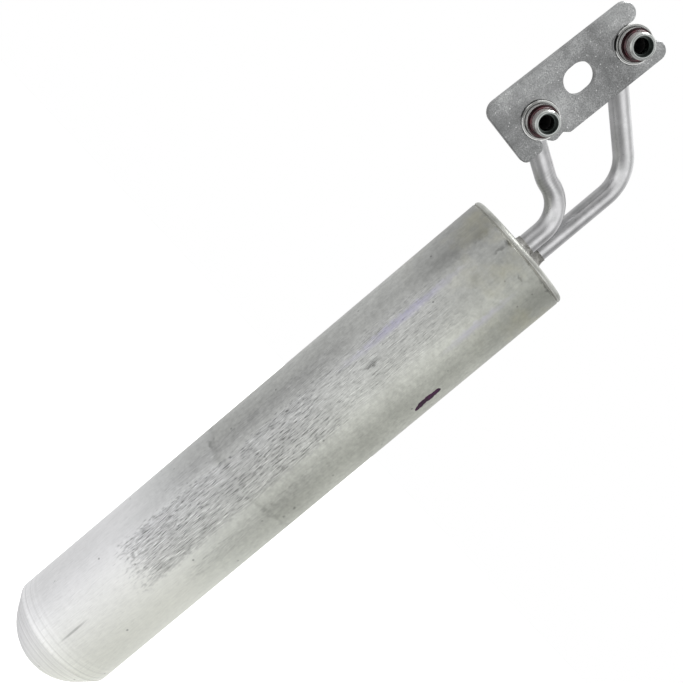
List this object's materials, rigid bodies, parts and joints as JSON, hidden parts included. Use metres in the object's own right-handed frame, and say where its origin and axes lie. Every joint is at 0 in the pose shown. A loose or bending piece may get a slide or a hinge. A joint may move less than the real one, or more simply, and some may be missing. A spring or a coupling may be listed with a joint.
{
  "type": "air conditioning accumulator",
  "caption": "Slim welded aluminium bottle with a domed end; two bent pipes rise from its cap to O-ring stubs in a slotted clamp plate. Holds back liquid refrigerant and dries the suction gas.",
  "frame": {"origin": "on the bottle's axis, half way up its straight wall, where the vehicle's band clamp grips it", "axes": "+Z along the bottle towards its pipes, -Y the way both stubs point, -X the side of the clamp plate"},
  "size_m": [0.0984, 0.061, 0.4091],
  "materials": {
    "can_aluminium": "bare, lightly oxidised and scuffed",
    "cap_aluminium": "turned",
    "weld_metal": "dark weld bead",
    "pipe_aluminium": "smooth, as drawn",
    "braze_metal": "flux-stained braze",
    "machined_aluminium": "machined",
    "plate_aluminium": "tumbled",
    "seal_rubber": "glossy, lightly oiled",
    "tube_aluminium": "as drawn",
    "moulded_plastic": "natural moulded",
    "bag_felt": "white felt",
    "strap_plastic": "moulded",
    "screen_fabric": "fine woven mesh",
    "orifice_brass": "turned"
  },
  "bodies": {
    "root": {"can_shell": "can_aluminium", "end_cap": "cap_aluminium", "seam_weld": "weld_metal", "outlet_pipe": "pipe_aluminium", "inlet_pipe": "pipe_aluminium", "outlet_braze": "braze_metal", "inlet_braze": "braze_metal", "outlet_stub": "machined_aluminium", "inlet_stub": "machined_aluminium", "outlet_stub_braze": "braze_metal", "inlet_stub_braze": "braze_metal", "outlet_o_ring": "seal_rubber", "inlet_o_ring": "seal_rubber", "clamp_plate": "plate_aluminium", "inner_tube": "tube_aluminium", "outer_sleeve": "moulded_plastic", "flow_deflector": "moulded_plastic", "desiccant_bag": "bag_felt", "lower_bag_strap": "strap_plastic", "upper_bag_strap": "strap_plastic", "bag_support_ring": "moulded_plastic", "oil_filter_housing": "moulded_plastic", "oil_filter_screen": "screen_fabric", "bleed_orifice": "orifice_brass"}
  },
  "joints": []
}
